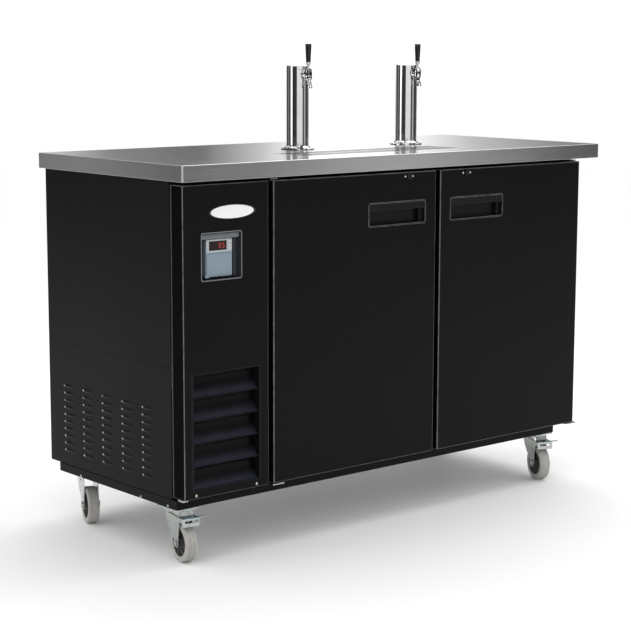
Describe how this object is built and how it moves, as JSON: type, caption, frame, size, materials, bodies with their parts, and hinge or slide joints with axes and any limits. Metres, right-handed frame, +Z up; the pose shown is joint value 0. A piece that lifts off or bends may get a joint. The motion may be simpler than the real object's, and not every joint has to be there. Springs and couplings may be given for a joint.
{
  "type": "kegerator",
  "caption": "Two-door direct-draw beer dispenser: insulated black cabinet on casters with a steel worktop, drip tray and single-tap towers.",
  "frame": {"origin": "on the floor under the centre of the worktop", "axes": "+Z up, -Y out of the doors, -X towards the machine bay"},
  "size_m": [1.55, 0.665, 1.3133],
  "materials": {
    "black_paint": "satin black powder coat",
    "inner_sheet": "satin coated inner sheet",
    "brushed_steel": "brushed along the length",
    "core_board": "sealed board under the steel skin",
    "black_plastic": "moulded, slightly textured",
    "chrome": "polished",
    "zinc": "bright zinc plate",
    "grey_tread": "light grey polyurethane tread on a dark hub",
    "gasket_rubber": "magnetic door gasket",
    "badge_white": "plain white oval with a dark rim",
    "button_grey": "rubber keys",
    "controller_grey": "blue-grey moulded case",
    "coil_metal": "finned coil"
  },
  "bodies": {
    "cabinet": {"base_frame": "black_paint", "floor_slab": "inner_sheet", "side_wall_right": "black_paint", "back_wall": "black_paint", "partition_wall": "inner_sheet", "centre_mullion": "inner_sheet", "ceiling_slab": "inner_sheet", "side_panel_left": "black_paint", "rear_cover": "black_paint", "worktop_skin": "brushed_steel", "worktop_core": "core_board", "drip_tray": "brushed_steel", "drain_tube": "black_plastic", "control_panel": "black_paint", "badge_plate": "badge_white", "louvre_grille": "black_plastic", "controller_box": "controller_grey", "condenser": "coil_metal", "fan_shroud": "black_paint", "compressor": "black_paint", "power_inlet": "black_plastic", "evaporator_housing": "inner_sheet", "door_left_top_hinge": "zinc", "door_left_bottom_hinge": "zinc", "door_right_top_hinge": "zinc", "door_right_bottom_hinge": "zinc", "tower_left_column": "chrome", "tower_left_faucet": "chrome", "tower_right_column": "chrome", "tower_right_faucet": "chrome", "caster_front_left_plate": "zinc", "caster_front_right_plate": "zinc", "caster_rear_left_plate": "zinc", "caster_rear_right_plate": "zinc"},
    "door_left": {"door_left_panel": "black_paint", "door_left_gasket": "gasket_rubber", "door_left_pull": "black_plastic"},
    "door_left_lock": {"door_left_lock": "chrome"},
    "door_right": {"door_right_panel": "black_paint", "door_right_gasket": "gasket_rubber", "door_right_pull": "black_plastic"},
    "door_right_lock": {"door_right_lock": "chrome"},
    "tower_left_handle": {"tower_left_handle": "black_plastic"},
    "tower_right_handle": {"tower_right_handle": "black_plastic"},
    "drip_grid": {"drip_grid": "brushed_steel"},
    "button_up": {"button_up": "button_grey"},
    "button_set": {"button_set": "button_grey"},
    "button_down": {"button_down": "button_grey"},
    "condenser_fan": {"condenser_fan": "black_plastic"},
    "evaporator_fan": {"evaporator_fan": "black_plastic"},
    "caster_front_left_swivel": {"caster_front_left_fork": "zinc"},
    "caster_front_left_wheel": {"caster_front_left_wheel": "grey_tread"},
    "caster_front_left_brake": {"caster_front_left_brake": "zinc"},
    "caster_front_right_swivel": {"caster_front_right_fork": "zinc"},
    "caster_front_right_wheel": {"caster_front_right_wheel": "grey_tread"},
    "caster_front_right_brake": {"caster_front_right_brake": "zinc"},
    "caster_rear_left_swivel": {"caster_rear_left_fork": "zinc"},
    "caster_rear_left_wheel": {"caster_rear_left_wheel": "grey_tread"},
    "caster_rear_right_swivel": {"caster_rear_right_fork": "zinc"},
    "caster_rear_right_wheel": {"caster_rear_right_wheel": "grey_tread"}
  },
  "joints": [
    {"name": "door_left_swing", "type": "hinge", "parent": "cabinet", "child": "door_left", "pos_m": [-0.467, -0.2985, 0.569], "axis": [0, 0, -1], "range_deg": [0, 95]},
    {"name": "door_right_swing", "type": "hinge", "parent": "cabinet", "child": "door_right", "pos_m": [0.689, -0.2985, 0.569], "axis": [0, 0, 1], "range_deg": [0, 95]},
    {"name": "door_left_lock_turn", "type": "hinge", "parent": "door_left", "child": "door_left_lock", "pos_m": [-0.0005, -0.3145, 0.956], "axis": [0, -1, 0], "range_deg": [0, 90]},
    {"name": "door_right_lock_turn", "type": "hinge", "parent": "door_right", "child": "door_right_lock", "pos_m": [0.2225, -0.3145, 0.956], "axis": [0, 1, 0], "range_deg": [0, 90]},
    {"name": "tower_left_pull", "type": "hinge", "parent": "cabinet", "child": "tower_left_handle", "pos_m": [-0.12, -0.0345, 1.2453], "axis": [1, 0, 0], "range_deg": [0, 30]},
    {"name": "tower_right_pull", "type": "hinge", "parent": "cabinet", "child": "tower_right_handle", "pos_m": [0.301, -0.0345, 1.2453], "axis": [1, 0, 0], "range_deg": [0, 30]},
    {"name": "drip_grid_lift", "type": "slide", "parent": "cabinet", "child": "drip_grid", "axis": [0, 0, 1], "range_m": [0, 0.06]},
    {"name": "button_up_press", "type": "slide", "parent": "cabinet", "child": "button_up", "axis": [0, 1, 0], "range_m": [0, 0.001], "stiffness_N_per_m": 400},
    {"name": "button_set_press", "type": "slide", "parent": "cabinet", "child": "button_set", "axis": [0, 1, 0], "range_m": [0, 0.001], "stiffness_N_per_m": 400},
    {"name": "button_down_press", "type": "slide", "parent": "cabinet", "child": "button_down", "axis": [0, 1, 0], "range_m": [0, 0.001], "stiffness_N_per_m": 400},
    {"name": "condenser_fan_spin", "type": "hinge", "parent": "cabinet", "child": "condenser_fan", "pos_m": [-0.63775, -0.1885, 0.3153], "axis": [0, 1, 0], "continuous": true},
    {"name": "evaporator_fan_spin", "type": "hinge", "parent": "cabinet", "child": "evaporator_fan", "pos_m": [-0.3069, 0.1329, 0.8774], "axis": [0, 1, 0], "continuous": true},
    {"name": "caster_front_left_swivel", "type": "hinge", "parent": "cabinet", "child": "caster_front_left_swivel", "pos_m": [-0.734, -0.2445, 0.125], "axis": [0, 0, 1], "continuous": true},
    {"name": "caster_front_left_roll", "type": "hinge", "parent": "caster_front_left_swivel", "child": "caster_front_left_wheel", "pos_m": [-0.74068, -0.27886, 0.0508], "axis": [0.9816, -0.1908, 0], "continuous": true},
    {"name": "caster_front_left_brake_press", "type": "hinge", "parent": "caster_front_left_swivel", "child": "caster_front_left_brake", "pos_m": [-0.734, -0.2445, 0.1167], "axis": [0.9816, -0.1908, 0], "range_deg": [0, 8]},
    {"name": "caster_front_right_swivel", "type": "hinge", "parent": "cabinet", "child": "caster_front_right_swivel", "pos_m": [0.613, -0.2445, 0.125], "axis": [0, 0, 1], "continuous": true},
    {"name": "caster_front_right_roll", "type": "hinge", "parent": "caster_front_right_swivel", "child": "caster_front_right_wheel", "pos_m": [0.59989, -0.27695, 0.0508], "axis": [0.9272, -0.3746, 0], "continuous": true},
    {"name": "caster_front_right_brake_press", "type": "hinge", "parent": "caster_front_right_swivel", "child": "caster_front_right_brake", "pos_m": [0.613, -0.2445, 0.1167], "axis": [0.9272, -0.3746, 0], "range_deg": [0, 8]},
    {"name": "caster_rear_left_swivel", "type": "hinge", "parent": "cabinet", "child": "caster_rear_left_swivel", "pos_m": [-0.71, 0.2165, 0.125], "axis": [0, 0, 1], "continuous": true},
    {"name": "caster_rear_left_roll", "type": "hinge", "parent": "caster_rear_left_swivel", "child": "caster_rear_left_wheel", "pos_m": [-0.72254, 0.18382, 0.0508], "axis": [0.9336, -0.3584, 0], "continuous": true},
    {"name": "caster_rear_right_swivel", "type": "hinge", "parent": "cabinet", "child": "caster_rear_right_swivel", "pos_m": [0.613, 0.2165, 0.125], "axis": [0, 0, 1], "continuous": true},
    {"name": "caster_rear_right_roll", "type": "hinge", "parent": "caster_rear_right_swivel", "child": "caster_rear_right_wheel", "pos_m": [0.60572, 0.18226, 0.0508], "axis": [0.9781, -0.2079, 0], "continuous": true}
  ]
}
